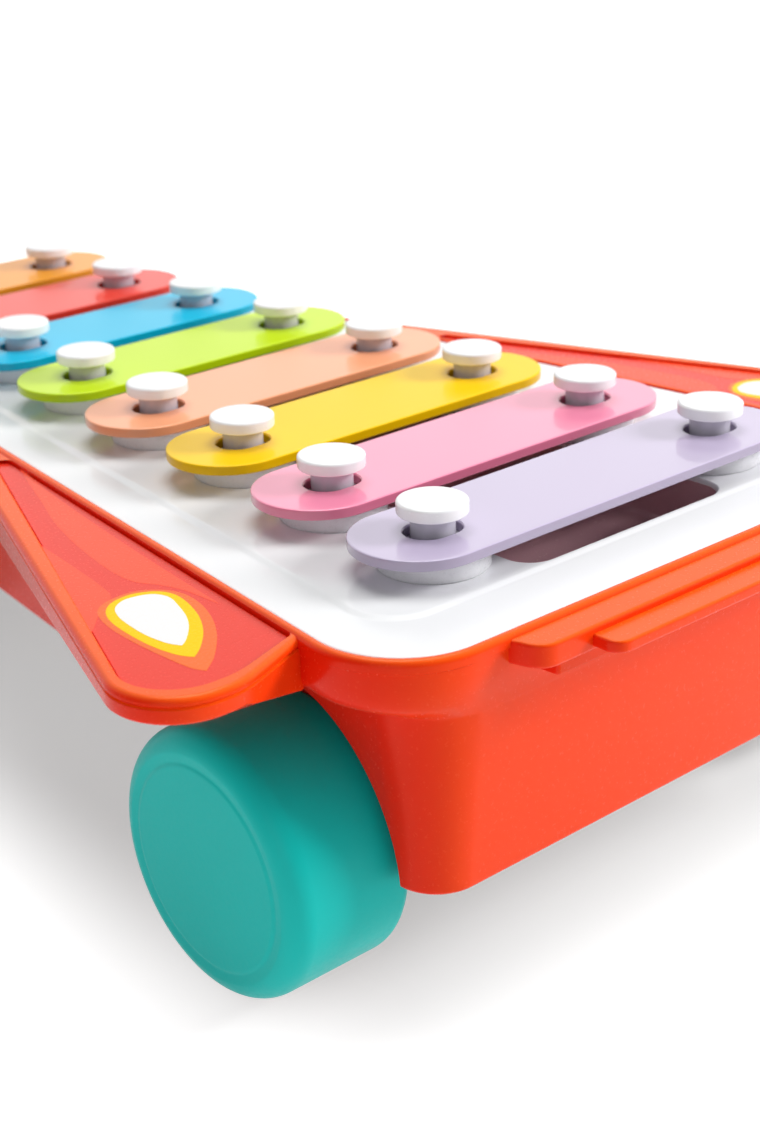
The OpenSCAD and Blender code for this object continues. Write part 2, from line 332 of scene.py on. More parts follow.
def register(obj, rides, replaces):
    """Tells the frame what carries the object, which CAD node it replaces."""
    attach(obj, rides)
    if replaces:
        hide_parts(replaces)


# ---------------------------------------------------------------------------
# Materials: procedural, with grain and slight colour variation
# ---------------------------------------------------------------------------
def add_node(tree, kind, inputs=None, **settings):
    """Adds a shader node. An input takes a value or the socket it is linked to."""
    node = tree.nodes.new("ShaderNode" + kind)
    for key, value in settings.items():
        setattr(node, key, value)
    for key, value in (inputs or {}).items():
        if isinstance(value, bpy.types.NodeSocket):
            tree.links.new(value, node.inputs[key])
        else:
            node.inputs[key].default_value = value
    return node


def mix_colour(tree, factor, first, second):
    node = add_node(tree, "Mix", {0: factor, 6: first, 7: second}, data_type="RGBA")
    return node.outputs[2]


def srgb(*channels):
    def linear(c):
        c = c / 255.0
        return c / 12.92 if c <= 0.04045 else ((c + 0.055) / 1.055) ** 2.4
    return tuple(linear(c) for c in channels)


NORMAL_X, NORMAL_Z = 0, 2
CALM_GREY = (0.30, 0.26, 0.25, 1)


def material(name, base, rough, grain, bump, vary, rough_vary=0.06, grain_stretch=(1, 1, 1),
             spec=0.5, spec_tint=(1, 1, 1), coat=0.0, coat_rough=0.05, metallic=0.0,
             sss=0.0, sss_radius=(1.0, 0.4, 0.3), sss_scale=0.002,
             peel=0.0, peel_scale=160.0, facing=(), calm=None):
    """Principled surface.

    grain, bump: scale and strength of the fine grain; vary, rough_vary: spread of the
    colour and roughness; sss: subsurface scattering; peel: slow waviness of the surface;
    facing: painted light and shade, tints by the way the surface faces, as (normal axis,
    where they start, where they are full, colour);
    calm: metres beyond which diffuse rays see a grey instead of the pigment.
    """
    mat = bpy.data.materials.new(name)
    mat.use_nodes = True
    tree = mat.node_tree
    tree.nodes.clear()
    link = tree.links.new
    output = add_node(tree, "OutputMaterial")
    surface = add_node(tree, "BsdfPrincipled", {
        "IOR": 1.46, "Specular IOR Level": spec, "Specular Tint": (*spec_tint, 1),
        "Metallic": metallic, "Coat Weight": coat, "Coat Roughness": coat_rough,
        "Subsurface Weight": sss, "Subsurface Radius": sss_radius,
        "Subsurface Scale": sss_scale})
    link(surface.outputs[0], output.inputs[0])
    place = add_node(tree, "TexCoord").outputs["Object"]
    stretched = add_node(tree, "Mapping", {0: place, "Scale": grain_stretch})
    mottle = add_node(tree, "TexNoise", {"Vector": place, "Scale": 28.0, "Detail": 4.0})
    fine = add_node(tree, "TexNoise", {"Vector": stretched.outputs[0], "Scale": grain,
                                       "Detail": 3.0, "Roughness": 0.6}).outputs[0]

    # slow mottling of the colour, as in moulded pigment
    dark = (*(c * (1 - vary) for c in base), 1)
    light = (*(min(1.0, c * (1 + vary)) for c in base), 1)
    colour = mix_colour(tree, mottle.outputs[0], dark, light)
    # painted light and shade: the colour moves towards each tint as the surface turns that way
    if facing:
        normal = add_node(tree, "NewGeometry").outputs["Normal"]
        axes = add_node(tree, "SeparateXYZ", {0: normal})
        for axis, start, full, tint in facing:
            share = add_node(tree, "MapRange", {"Value": axes.outputs[axis], "From Min": start,
                                                "From Max": full, "To Max": 0.85},
                             interpolation_type="SMOOTHSTEP")
            colour = mix_colour(tree, share.outputs[0], colour, (*tint, 1))
    if calm is not None:
        # keeps a strong pigment from tinting the studio floor and the white deck
        ray = add_node(tree, "LightPath")
        is_far = add_node(tree, "Math", {0: ray.outputs["Ray Length"], 1: calm},
                          operation="GREATER_THAN")
        far_diffuse = add_node(tree, "Math", {0: is_far.outputs[0],
                                              1: ray.outputs["Is Diffuse Ray"]},
                               operation="MULTIPLY")
        colour = mix_colour(tree, far_diffuse.outputs[0], colour, CALM_GREY)
    link(colour, surface.inputs["Base Color"])

    roughness = add_node(tree, "MapRange", {
        "Value": fine, "From Min": 0.3, "From Max": 0.7,
        "To Min": rough - rough_vary, "To Max": rough + rough_vary})
    link(roughness.outputs[0], surface.inputs["Roughness"])
    relief = add_node(tree, "Bump", {"Strength": bump, "Distance": 0.0002, "Height": fine})
    link(relief.outputs[0], surface.inputs["Normal"])
    if peel > 0:
        waves = add_node(tree, "TexNoise", {"Vector": place, "Scale": peel_scale,
                                            "Detail": 1.5})
        wavy = add_node(tree, "Bump", {"Strength": peel, "Distance": 0.0004,
                                       "Height": waves.outputs[0]})
        link(wavy.outputs[0], surface.inputs["Coat Normal"])
        link(wavy.outputs[0], relief.inputs["Normal"])
    return mat


finishes = {
    # painted light and shade: warmer and lighter where it faces up, as if lit from above; deeper
    # red where it faces left into the shade
    "casing": material(
        "moulded_red_orange", base=(0.89, 0.046, 0.003), rough=0.26, rough_vary=0.02,
        spec=0.42, spec_tint=(1.0, 0.55, 0.30), sss=0.12, sss_radius=(1.0, 0.12, 0.04),
        sss_scale=0.0016, grain=1500, bump=0.008, vary=0.03, peel=0.02, peel_scale=55,
        facing=[(NORMAL_Z, 0.15, 0.95, (0.96, 0.12, 0.006)),
                (NORMAL_X, -0.25, -0.95, (0.80, 0.010, 0.002))], calm=0.018),
    "deck": material(
        "moulded_white", base=(0.86, 0.87, 0.88), rough=0.16, sss=0.10, sss_radius=(1, 1, 1),
        grain=1200, bump=0.02, vary=0.012, peel=0.04, peel_scale=45),
    "peg": material(
        "peg_white", base=(0.88, 0.88, 0.89), rough=0.22, sss=0.15, sss_radius=(1, 1, 1),
        grain=1500, bump=0.03, vary=0.01),
    "neck": material(
        "peg_neck", base=(0.50, 0.48, 0.54), rough=0.12, sss=0.2, sss_radius=(1, 1, 1),
        grain=1500, bump=0.02, vary=0.02),
    # painted shade and painted bounce light: the sound wells are white plastic, coloured here the
    # dark mauve of their shade and of the light bounced from the bars and casing
    "well": material(
        "well_shade", base=(0.62, 0.36, 0.40), rough=0.22, grain=1200, bump=0.02, vary=0.03),
    "ring": material(
        "milky_silicone", base=(0.80, 0.79, 0.83), rough=0.30, sss=0.55,
        sss_radius=(1, 0.95, 1), sss_scale=0.004, grain=1600, bump=0.04, vary=0.015),
    "teal": material(
        "satin_teal", base=(0.005, 0.52, 0.475), rough=0.40, spec=0.17, sss=0.12,
        sss_radius=(0.2, 1, 0.9), grain=1100, bump=0.03, vary=0.05, peel=0.03,
        peel_scale=60, calm=0.0),
    "base": material(
        "textured_red", base=(0.80, 0.05, 0.01), rough=0.52, grain=700, bump=0.35,
        vary=0.05, calm=0.004),
    "steel": material(
        "turned_steel", base=(0.62, 0.63, 0.65), rough=0.26, metallic=1.0, grain=500,
        bump=0.05, vary=0.06, grain_stretch=(1.0, 30.0, 30.0)),
    "screw": material(
        "zinc_steel", base=(0.58, 0.59, 0.60), rough=0.32, metallic=1.0, grain=900,
        bump=0.08, vary=0.08),
}
for bar_name, _, pigment, coat_weight, specular in BARS:
    painted_side_shade = tuple(0.68 * c ** 1.12 for c in pigment)  # painted shade: darker and richer on the sides, which face away from the light
    finishes[bar_name] = material(
        "enamel_" + bar_name, base=pigment, rough=0.28, rough_vary=0.004, spec=specular,
        coat=coat_weight, coat_rough=0.03, grain=1400, bump=0.0, vary=0.015, peel=0.02,
        peel_scale=60, facing=[(NORMAL_Z, 0.75, 0.25, painted_side_shade)])
PRINT_GRAIN = dict(grain=1400, bump=0.006)
finishes["panel"] = material(
    "print_coral", base=srgb(232, 52, 34), rough=0.24, spec=0.35, spec_tint=(1.0, 0.7, 0.5),
    vary=0.02, peel=0.012, **PRINT_GRAIN)
finishes["print_bright"] = material(
    "print_bright_coral", base=srgb(252, 76, 38), rough=0.24, spec=0.35,
    spec_tint=(1.0, 0.7, 0.5), vary=0.02, **PRINT_GRAIN)
finishes["print_orange"] = material(
    "print_orange", base=srgb(248, 108, 30), rough=0.26, spec=0.25, vary=0.02, **PRINT_GRAIN)
finishes["print_yellow"] = material(
    "print_yellow", base=srgb(255, 206, 0), rough=0.26, spec=0.08, vary=0.02, **PRINT_GRAIN)
finishes["print_white"] = material(
    "print_white", base=(0.88, 0.87, 0.86), rough=0.24, vary=0.01, **PRINT_GRAIN)

# ---------------------------------------------------------------------------
# Casing shell. Trapezoids: half width at y = 0, front y, back y, front and back radius
# ---------------------------------------------------------------------------
CASE_LOW = (60.6, -27.0, 239.6, 8.6, 12.0)      # at the bottom
CASE_HIGH = (62.6, -28.6, 241.2, 12.3, 14.0)    # at the crease
CASE_TOP = (71.5, -30.3, 243.0, 18.0, 22.0)     # rim above the band
CASE_BAND = tighter(CASE_TOP, 0.35)
DECK_SEAT = (69.55, -28.35, 240.95, 17.0, 20.0)
RIM_ROUND_IN, RIM_ROUND_HEIGHT = 1.15, 1.3
RIM_WIDTH, RIM_INNER_IN, RIM_INNER_DROP = 1.93, 0.55, 0.5
CREASE_TO_BAND = [  # share of the way from CASE_HIGH to CASE_BAND, z
    (0.0, 58.0), (0.02, 58.12), (0.07, 58.3), (0.30, 58.95), (0.55, 59.65), (0.75, 60.25),
    (0.87, 60.75), (0.94, 61.3), (0.98, 62.1), (1.0, 63.2), (1.0, 64.6)]


def case_at(z):
    return mix(CASE_LOW, CASE_HIGH, (z - CASE_BOTTOM) / (CREASE - CASE_BOTTOM))


def side_x(y, z):
    """Distance of the outer side wall from the centre line."""
    return case_at(z)[0] - TAPER * y


def front_y(z):
    """The front wall runs up into the band without a crease."""
    t = min(1.0, max(0.0, (z - 57.0) / 9.0))
    return CASE_HIGH[1] + (CASE_BAND[1] - CASE_HIGH[1]) * t * t * (3 - 2 * t)


def casing_shell():
    rings = []
    for depth, rise in foot_round(0.9, spread(90, 5)):
        z = CASE_BOTTOM + rise
        rings.append(at(trapezoid(case_at(z), depth), z))
    for z in (32, 40, 48, 54, 57.4):
        rings.append(at(trapezoid(case_at(z)), z))
    for share, z in CREASE_TO_BAND:
        half, _, *rest = mix(CASE_HIGH, CASE_BAND, share)
        rings.append(at(trapezoid((half, front_y(z), *rest)), z))
    rings += [at(trapezoid(CASE_BAND), z) for z in (66.2, 67.85)]
    rings += [at(trapezoid(CASE_TOP), z) for z in (68.1, 68.9)]
    for depth, rise in top_round(RIM_ROUND_IN, RIM_ROUND_HEIGHT, spread(90, 8, start=1)):
        rings.append(at(trapezoid(CASE_TOP, depth), RIM - RIM_ROUND_HEIGHT + rise))
    for degrees in spread(90, 5, start=1):  # inner rounding down to the deck
        a = math.radians(degrees)
        depth = RIM_WIDTH - RIM_INNER_IN + RIM_INNER_IN * math.sin(a)
        rings.append(at(trapezoid(CASE_TOP, depth), RIM - RIM_INNER_DROP * (1 - math.cos(a))))
    rings.append(at(trapezoid(DECK_SEAT), 67.5))
    inner_high = tighter(CASE_HIGH, WALL)
    inner_low = tighter(CASE_LOW, WALL)[:3] + inner_high[3:]
    rings += [at(trapezoid(inner_high), z) for z in (67.3, CREASE)]
    rings.append(at(trapezoid(inner_low), CASE_BOTTOM))
    return loft(rings, wrap=True)


# ---------------------------------------------------------------------------
# Wheel wells, left side
# ---------------------------------------------------------------------------
LINER_RADIUS, ARCH_RADIUS = 29.7, 27.5
ARCH_FLARE = 1.3            # widening of the cutter outside the wall
WELL_FLOOR = [  # distance out from the inner wall, radius less than the arch
    (0.0, 2.0), (0.3, 1.0), (0.9, 0.4), (1.9, 0.0)]


def arch_points(axle_y, radius, angles):
    return [(axle_y + radius * math.cos(a), AXLE_Z + radius * math.sin(a)) for a in angles]


def liner(axle_y, well_x):
    """Half drum behind the wheel, closed on the inside."""
    points = arch_points(axle_y, LINER_RADIUS, spread(math.pi, 48))
    return loft([[(-(well_x - 2.0), y, z) for y, z in points],
                 [(-(side_x(y, z) - 1.1), y, z) for y, z in points]])


def arch_cutter(axle_y, well_x):
    """Drum that hollows the well and rounds the arch where it meets the side wall."""
    angles = [2 * math.pi * i / 120 for i in range(120)]

    def flat_ring(x, radius):
        return [(-x, y, z) for y, z in arch_points(axle_y, radius, angles)]

    def wall_ring(depth, radius):
        return [(-(side_x(y, max(min(z, CREASE), CASE_BOTTOM)) - depth), y, z)
                for y, z in arch_points(axle_y, radius, angles)]

    rings = [flat_ring(well_x + out, ARCH_RADIUS - less) for out, less in WELL_FLOOR]
    rings.append(wall_ring(0.5, ARCH_RADIUS))
    for wider, outward in top_round(0.5, 0.5, (12, 24, 36, 48, 60)):
        rings.append(wall_ring(0.5 - outward, ARCH_RADIUS + wider))
    rings.append(wall_ring(-0.6, ARCH_RADIUS + ARCH_FLARE))
    rings.append(flat_ring(112.0, ARCH_RADIUS + ARCH_FLARE))
    return loft(rings)


def axle_slot(axle_y, well_x):
    """Block cut from the inner wall of the well round the axle, open below."""
    x0, x1, y0, y1 = -well_x - 3.9, -well_x + 4, axle_y - 6, axle_y + 6
    outline = rounded([(x0, y0), (x1, y0), (x1, y1), (x0, y1)], [0.3] * 4, 2)
    return loft([at(outline, 10), at(outline, 31.2)])


# ---------------------------------------------------------------------------
# Left fin, its recess and the hollow below
# ---------------------------------------------------------------------------
def fin_line(depth, y):
    """x of the fin's long outer edge, moved in by depth along x."""
    return -(103.94 - depth) + 0.36 * y


# corners: outer edge, front lobe, then hidden edges inside the casing
FIN = [(fin_line(0, 137.0), 137.0), (fin_line(0, -12.4), -12.4), (-87.5, -12.8),
       (-71.0, -6.2), (-70.26, 2.0), (-54.54, 133.0)]
FIN_RADII = [0.1, 12.0, 16.0, 0.8, 0.8, 0.1]
FIN_GROOVE = [  # inset, z of the wall and the groove below the ridge
    (0, 67.2), (0, 67.85), (0.08, 67.98), (0.40, 68.10), (0.48, 68.22), (0.42, 68.34),
    (0.10, 68.46)]
RECESS = [(-57.52, 114.0), (fin_line(2.5, -8.8), -8.8), (-86.5, -9.2), (-71.7, -4.2)]
RECESS_RADII = [1.6, 9.5, 18.0, 1.0]
HOLLOW = [(-58.5, 113.0), (fin_line(2.9, -9.4), -9.4), (-86.8, -9.8), (-73.0, -4.6)]
HOLLOW_RADII = [1.0, 9.5, 18.0, 1.0]


def skirt_z(x, y):
    """Lower edge of the fin, falling towards the casing."""
    return 65.3 - 5.2 * min(1.0, max(0.0, (x + 87.0) / 13.0))


def fin():
    def ring(depth, z):
        return at(inset_rounded(FIN, FIN_RADII, depth, 18, kept_edges=(3, 4, 5),
                                kept_radii=(0, 3, 4, 5)), z)

    rings = [ring(depth, lambda x, y, rise=rise: skirt_z(x, y) + rise)
             for depth, rise in foot_round(0.7, (0, 30, 60, 90))]
    rings += [ring(depth, z) for depth, z in FIN_GROOVE]
    rings += [ring(depth, 68.6 + rise) for depth, rise in top_round(1.3, 1.3, spread(90, 8))]
    return loft(rings)


def recess():
    stations = [(0.0, 68.6), (0.0, 69.3)]  # inset, z
    stations += [(depth, 69.3 + rise)
                 for depth, rise in top_round(-0.7, 0.62, spread(65, 4, start=1))]
    stations.append((-1.6, 71.5))
    return loft([at(inset_rounded(RECESS, RECESS_RADII, depth, 18, kept_edges=(3,)), z)
                 for depth, z in stations])


def hollow():
    stations = [(0, 56), (0, 65.6), (0.25, 66.2), (0.8, 66.4)]  # inset, z
    return loft([at(inset_rounded(HOLLOW, HOLLOW_RADII, depth, 14, kept_radii=(0, 3)), z)
                 for depth, z in stations])


# ---------------------------------------------------------------------------
# Ledges across the front wall, in the order they are added
# ---------------------------------------------------------------------------
LEDGES = [  # corners, radii, bottom z, top z, edge radius
    ([(-48.8, -28.8), (-46.6, -36.1), (46.6, -36.1), (48.8, -28.8)],
     [0.5, 4.5, 4.5, 0.5], 65.1, 69.45, 0.7),
    ([(-42.0, -28.0), (-41.4, -34.2), (41.4, -34.2), (42.0, -28.0)],
     [0.5, 0.8, 0.8, 0.5], 62.1, 65.3, 0.3),
    ([(-35.6, -34.0), (-35.6, -41.8), (35.6, -41.8), (35.6, -34.0)],
     [0.5, 3.0, 3.0, 0.5], 65.9, 68.2, 0.6),
]


def ledge(corners, radii, bottom, top, edge):
    """Slab with rounded edges above and below; its back edge is not inset."""
    stations = [(depth, bottom + rise) for depth, rise in foot_round(edge, (0, 30, 60, 90))]
    stations += [(depth, top - rise)
                 for depth, rise in foot_round(edge, (90, 67, 45, 22, 0))]
    return loft([at(inset_rounded(corners, radii, depth, 12, kept_edges=(3,)), z)
                 for depth, z in stations])


def at_wheels(make):
    """The part at both ends of both sides."""
    return [part for _, axle_y, _, well_x in WHEELS
            for part in both_sides(make(axle_y, well_x))]


def build_casing():
    casing = build("casing_shell", [casing_shell()], finishes["casing"], 30, weighted=True)
    add_parts(casing, at_wheels(liner))
    cut_parts(casing, at_wheels(arch_cutter))
    fins = build("tool_fins", both_sides(fin()), finishes["casing"])
    cut_parts(fins, both_sides(hollow()))
    combine(casing, fins, "UNION")
    for row in LEDGES:
        add_parts(casing, [ledge(*row)])
    cut_parts(casing, both_sides(recess()))
    cut_parts(casing, at_wheels(axle_slot))
    shade(casing, 30)
    register(casing, "chassis", "casing")


build_casing()

# ---------------------------------------------------------------------------
# Deck with its raised field and a sound well under each bar
# ---------------------------------------------------------------------------
DECK = tighter(DECK_SEAT, 0.15)
DECK_FLAT = 69.9            # height around the raised field
DECK_EDGE = 0.35
FIELD_FOOT = (60.2, -15.4, 232.0, 10.0, 12.0)
FIELD_TOP = (58.0, -13.6, 230.0, 8.5, 10.5)
FIELD_SLOPE = [  # share of the way from foot to top, z
    (0.0, 69.9), (0.15, 69.92), (0.35, 69.99), (0.65, 70.2), (0.85, 70.28), (1.0, 70.3)]
WELL_FROM_PEG = 10.3        # peg centre to well end
WELL_HALF_WIDTH = 13
WELL_RADIUS = 5
WELL_BRIM = 69.5            # where the upper edge starts to round
TUB = [  # growth around the well, z
    (0.8, 57.8), (1.4, 58.3), (1.6, 59.2), (1.6, 69.0)]
WELL_WALL = [  # growth around the well, z
    (-2.0, 59.4), (-0.9, 59.7), (-0.25, 60.4), (0, 61.6), (0, WELL_BRIM)]


def well_loft(i, stations):
    rings = []
    for grow, z in stations:
        half, wide, y = peg_xs[i] - WELL_FROM_PEG + grow, WELL_HALF_WIDTH + grow, bar_ys[i]
        corners = [(-half, y - wide), (half, y - wide), (half, y + wide), (-half, y + wide)]
        rings.append(at(rounded(corners, [WELL_RADIUS + grow] * 4, 10), z))
    return loft(rings)


def deck_plate():
    rings = [at(trapezoid(DECK), 67.45), at(trapezoid(DECK), DECK_FLAT - DECK_EDGE)]
    for depth, rise in top_round(DECK_EDGE, DECK_EDGE, spread(90, 4, start=1)):
        rings.append(at(trapezoid(DECK, depth), DECK_FLAT - DECK_EDGE + rise))
    rings.append(at(trapezoid(FIELD_FOOT, -1.2), DECK_FLAT))
    rings += [at(trapezoid(mix(FIELD_FOOT, FIELD_TOP, share)), z) for share, z in FIELD_SLOPE]
    rings.append(at(trapezoid(FIELD_TOP, 1.0), DECK_TOP))
    return loft(rings)


def in_well(centre):
    """True for a face centre, in metres, on the inside of a sound well."""
    x, y, z = centre.x * 1000, centre.y * 1000 + ORIGIN_Y, centre.z * 1000
    i = min(len(BARS) - 1, max(0, round(y / BAR_PITCH)))
    return (abs(x) < peg_xs[i] - WELL_FROM_PEG + 0.1
            and abs(y - bar_ys[i]) < WELL_HALF_WIDTH + 0.1 and 59.3 < z < 69.45)


def build_deck():
    deck = build("deck_panel", [deck_plate()], finishes["deck"], 30, weighted=True)
    well = WELL_WALL + [(grow, WELL_BRIM + rise)
                        for grow, rise in top_round(0.8, 0.8, (15, 30, 45, 60, 72))]
    well.append((0.95, 71.6))
    add_parts(deck, [well_loft(i, TUB) for i in range(len(BARS))])
    # the faces inside the wells get the painted shade colour
    cut_parts(deck, [well_loft(i, well) for i in range(len(BARS))], finishes["well"])
    deck.data.materials.append(finishes["well"])
    for face in deck.data.polygons:
        face.material_index = 1 if in_well(face.center) else 0
    shade(deck, 30)
    register(deck, "chassis", "deck")


build_deck()

# ---------------------------------------------------------------------------
# Bars, each with a slot for the peg at both ends
# ---------------------------------------------------------------------------
SLOT_LENGTH, SLOT_WIDTH, SLOT_EDGE = 11.0, 8.3, 0.5


def bar_body(length, y):
    stations = [(depth, BAR_Z + rise) for depth, rise in foot_round(0.35, (0, 30, 60, 90))]
    stations += [(depth, BAR_TOP - rise)
                 for depth, rise in foot_round(0.32, reversed(spread(90, 5)))]
    stations.append((1.3, BAR_TOP))
    return loft([at(stadium(length - 2 * depth, BAR_WIDTH - 2 * depth, 0, y, 28), z)
                 for depth, z in stations])


def bar_slot(cx, y):
    stations = [(0.3, BAR_Z - 1), (0.15, BAR_Z + 0.05), (0, BAR_Z + 0.3)]  # growth, z
    stations += [(grow, BAR_TOP - SLOT_EDGE + rise)
                 for grow, rise in top_round(SLOT_EDGE, SLOT_EDGE, (0, 20, 40, 60))]
    stations.append((SLOT_EDGE, BAR_TOP + 0.4))
    return loft([at(stadium(SLOT_LENGTH + 2 * grow, SLOT_WIDTH + 2 * grow, cx, y, 18), z)
                 for grow, z in stations])


for (bar_name, *_), length, y, peg_x in zip(BARS, bar_lengths, bar_ys, peg_xs):
    bar = build(bar_name + "_enamel", [bar_body(length, y)], finishes[bar_name], 30,
                weighted=True)
    cut_parts(bar, [bar_slot(-peg_x, y), bar_slot(peg_x, y)])
    shade(bar, 30)
    register(bar, "body_" + bar_name, bar_name)

# ---------------------------------------------------------------------------
# Pegs and rest rings. Profiles: radius, z
# ---------------------------------------------------------------------------
CAP_RADIUS = 6.3
PEG_PROFILE = [
    (0, 62.0), (3.75, 62.0), (3.95, 62.2), (3.95, CAP_Z - 0.35), (4.05, CAP_Z - 0.1),
    (4.3, CAP_Z), (5.9, CAP_Z),
    *arc(CAP_RADIUS - 0.35, CAP_Z + 0.35, 0.35, -90, 0, 4),
    *arc(CAP_RADIUS - 0.5, CAP_TOP - 0.5, 0.5, 0, 84, 7),
    (4.6, CAP_TOP), (2.0, CAP_TOP), (0, CAP_TOP)]
RING_PROFILE = [
    (4.05, DECK_TOP), (9.75, DECK_TOP), (10.0, DECK_TOP + 0.25), (10.0, BAR_Z - 0.7),
    *arc(9.3, BAR_Z - 0.7, 0.7, 15, 90, 5),
    (4.6, BAR_Z), (4.05, BAR_Z - 0.4)]


def row_of(profile, side, closed=False):
    """One turned part at every peg of a side, -1 for left and 1 for right."""
    return [lathe(profile, 64, lambda x, y, z: (side * peg_x + x, bar_y + y, z), closed)
            for peg_x, bar_y in zip(peg_xs, bar_ys)]


for side, side_name in ((-1, "left"), (1, "right")):
    pegs = build("pegs_" + side_name + "_caps", row_of(PEG_PROFILE, side), finishes["peg"],
                 40, weighted=True)
    pegs.data.materials.append(finishes["neck"])
    for face in pegs.data.polygons:
        if face.center.z < (CAP_Z - 0.05) * 0.001:
            face.material_index = 1
    register(pegs, "chassis", "pegs_" + side_name)
    rings = build("rings_" + side_name + "_soft", row_of(RING_PROFILE, side, closed=True),
                  finishes["ring"], 40, weighted=True)
    register(rings, "chassis", "rings_" + side_name)

# ---------------------------------------------------------------------------
# Wheels. Heights are counted inwards from the outer face
# ---------------------------------------------------------------------------
OUTER_EDGE, INNER_EDGE = 4.6, 2.4   # edge radii
WHEEL_PROFILE = [  # radius, height
    # outer face with a shallow groove
    (0.0, 0.0), (6.0, 0.0), (14.0, 0.0), (18.3, 0.0), (18.7, 0.04), (18.95, 0.16),
    (19.2, 0.24), (19.6, 0.22),
    # tread
    *arc(WHEEL_RADIUS - OUTER_EDGE, OUTER_EDGE, OUTER_EDGE, -84, 0, 14),
    (WHEEL_RADIUS, 9.0), (WHEEL_RADIUS, 14.0), (WHEEL_RADIUS, WHEEL_WIDTH - INNER_EDGE),
    *arc(WHEEL_RADIUS - INNER_EDGE, WHEEL_WIDTH - INNER_EDGE, INNER_EDGE, 0, 90, 8),
    # hollow inner side
    (20.2, WHEEL_WIDTH), (19.9, WHEEL_WIDTH - 0.4), (19.9, 8.0), (19.3, 5.0), (17.5, 3.2),
    (15.0, 2.7), (7.6, 2.7), (6.2, 3.4),
    # hub and its bore
    (5.6, 5.0), (5.6, WHEEL_WIDTH - 0.9), (5.3, WHEEL_WIDTH - 0.2), (4.8, WHEEL_WIDTH),
    (2.05, WHEEL_WIDTH), (1.99, WHEEL_WIDTH - 0.4), (1.99, 6.0), (0.0, 6.0)]
RIB_COUNT, RIB_FROM, RIB_TO = 6, 5.2, 20.3
RIB_SECTION = [  # height, half thickness
    (2.0, 1.15), (4.5, 1.0), (18.2, 0.8), (18.6, 0.6)]


def wheel_ribs(place):
    """Ribs between hub and tread."""
    ribs = []
    for j in range(RIB_COUNT):
        a = math.radians(360 / RIB_COUNT * j)
        rings = []
        for height, half in RIB_SECTION:
            corners = ((RIB_FROM, -half), (RIB_TO, -half), (RIB_TO, half), (RIB_FROM, half))
            rings.append([place(r * math.cos(a) - t * math.sin(a),
                                r * math.sin(a) + t * math.cos(a), height)
                          for r, t in corners])
        ribs.append(loft(rings))
    return ribs


for end, axle_y, inner_x, _ in WHEELS:
    def on_axle(x, y, height):
        return (-(inner_x + WHEEL_WIDTH - height), axle_y + y, AXLE_Z + x)

    body, ribs = lathe(WHEEL_PROFILE, 128, on_axle), wheel_ribs(on_axle)
    for side_name in ("left", "right"):
        if side_name == "right":
            body, ribs = mirrored(body), [mirrored(rib) for rib in ribs]
        node = "wheel_" + end + "_" + side_name
        wheel = build(node + "_teal", [body], finishes["teal"], 35, weighted=True)
        add_parts(wheel, ribs)
        shade(wheel, 35)
        register(wheel, end + "_wheels", node)

# ---------------------------------------------------------------------------
# Fin panels and their printed areas, as (x, y) on the left fin
# ---------------------------------------------------------------------------
PANEL = [(-58.06, 112.0), (fin_line(2.7, -8.6), -8.6), (-86.5, -9.0), (-72.05, -4.1)]
PANEL_RADII = [1.5, 9.3, 17.8, 0.9]
PANEL_STATIONS = [  # inset, z
    (0.0, 68.6), (0.0, 69.0), (0.06, 69.13), (0.2, 69.2)]
PRINT_BOTTOM = 69.15
# each drop starts at its sharp tip
WHITE_DROP = [
    (-86.1, 5.5), (-84.3, 6.8), (-81.1, 10.4), (-78.9, 14.1), (-77.3, 18.4), (-76.3, 22.4),
    (-77.3, 25.3), (-79.8, 26.7), (-82.7, 26.9), (-85.4, 25.2), (-86.9, 22.0),
    (-87.6, 18.0), (-87.9, 12.8), (-87.3, 8.0)]
YELLOW_DROP = [
    (-87.2, 0.7), (-84.6, 2.7), (-80.8, 6.9), (-77.7, 12.0), (-75.7, 17.4), (-74.9, 22.2),
    (-76.0, 25.7), (-79.3, 27.9), (-82.7, 28.1), (-85.6, 26.9), (-87.8, 24.3),
    (-89.1, 20.4), (-89.7, 14.3), (-89.6, 8.0), (-88.6, 3.1)]
ORANGE_DROP = [
    (-88.8, -4.6), (-84.8, -1.3), (-79.8, 4.6), (-76.4, 10.3), (-74.2, 16.2),
    (-73.6, 21.7), (-75.1, 25.8), (-78.8, 28.7), (-83.4, 28.9), (-86.8, 27.6),
    (-88.9, 25.0), (-90.3, 20.0), (-90.8, 13.0), (-90.6, 5.3), (-90.0, -1.7)]
INNER_WEDGE = [
    (-59.6, 96.0), (-63.2, 87.0), (-66.8, 77.0), (-70.5, 67.4), (-73.5, 57.1),
    (-75.6, 47.0), (-76.8, 38.5), (-76.6, 32.3), (-74.4, 28.1), (-72.9, 24.0),
    (-72.3, 19.2), (-71.9, 14.6), (-71.2, 20.0), (-69.9, 31.4), (-67.9, 47.1),
    (-65.5, 64.1), (-62.8, 80.9)]
OUTER_WEDGE = [
    (-78.9, 61.0), (-79.6, 51.5), (-80.7, 42.0), (-81.6, 35.2), (-82.8, 30.3),
    (-85.6, 27.6), (-88.9, 24.8), (-92.3, 21.2), (-93.6, 20.4), (-92.6, 25.2),
    (-90.2, 32.6), (-87.2, 40.6), (-84.4, 47.8), (-81.6, 54.9)]
PRINTS = [  # name, finish, top z, has a sharp tip, outlines
    ("bright", "print_bright", 69.225, False, [INNER_WEDGE, OUTER_WEDGE]),
    ("drop_orange", "print_orange", 69.24, True, [ORANGE_DROP]),
    ("drop_yellow", "print_yellow", 69.27, True, [YELLOW_DROP]),
    ("drop_white", "print_white", 69.30, True, [WHITE_DROP]),
]


def panel_plate():
    return loft([at(inset_rounded(PANEL, PANEL_RADII, depth, 18), z)
                 for depth, z in PANEL_STATIONS])


def print_sheet(points, sharp, top):
    outline = smooth_loop(points, sharp)
    return loft([at(outline, PRINT_BOTTOM), at(outline, top)])


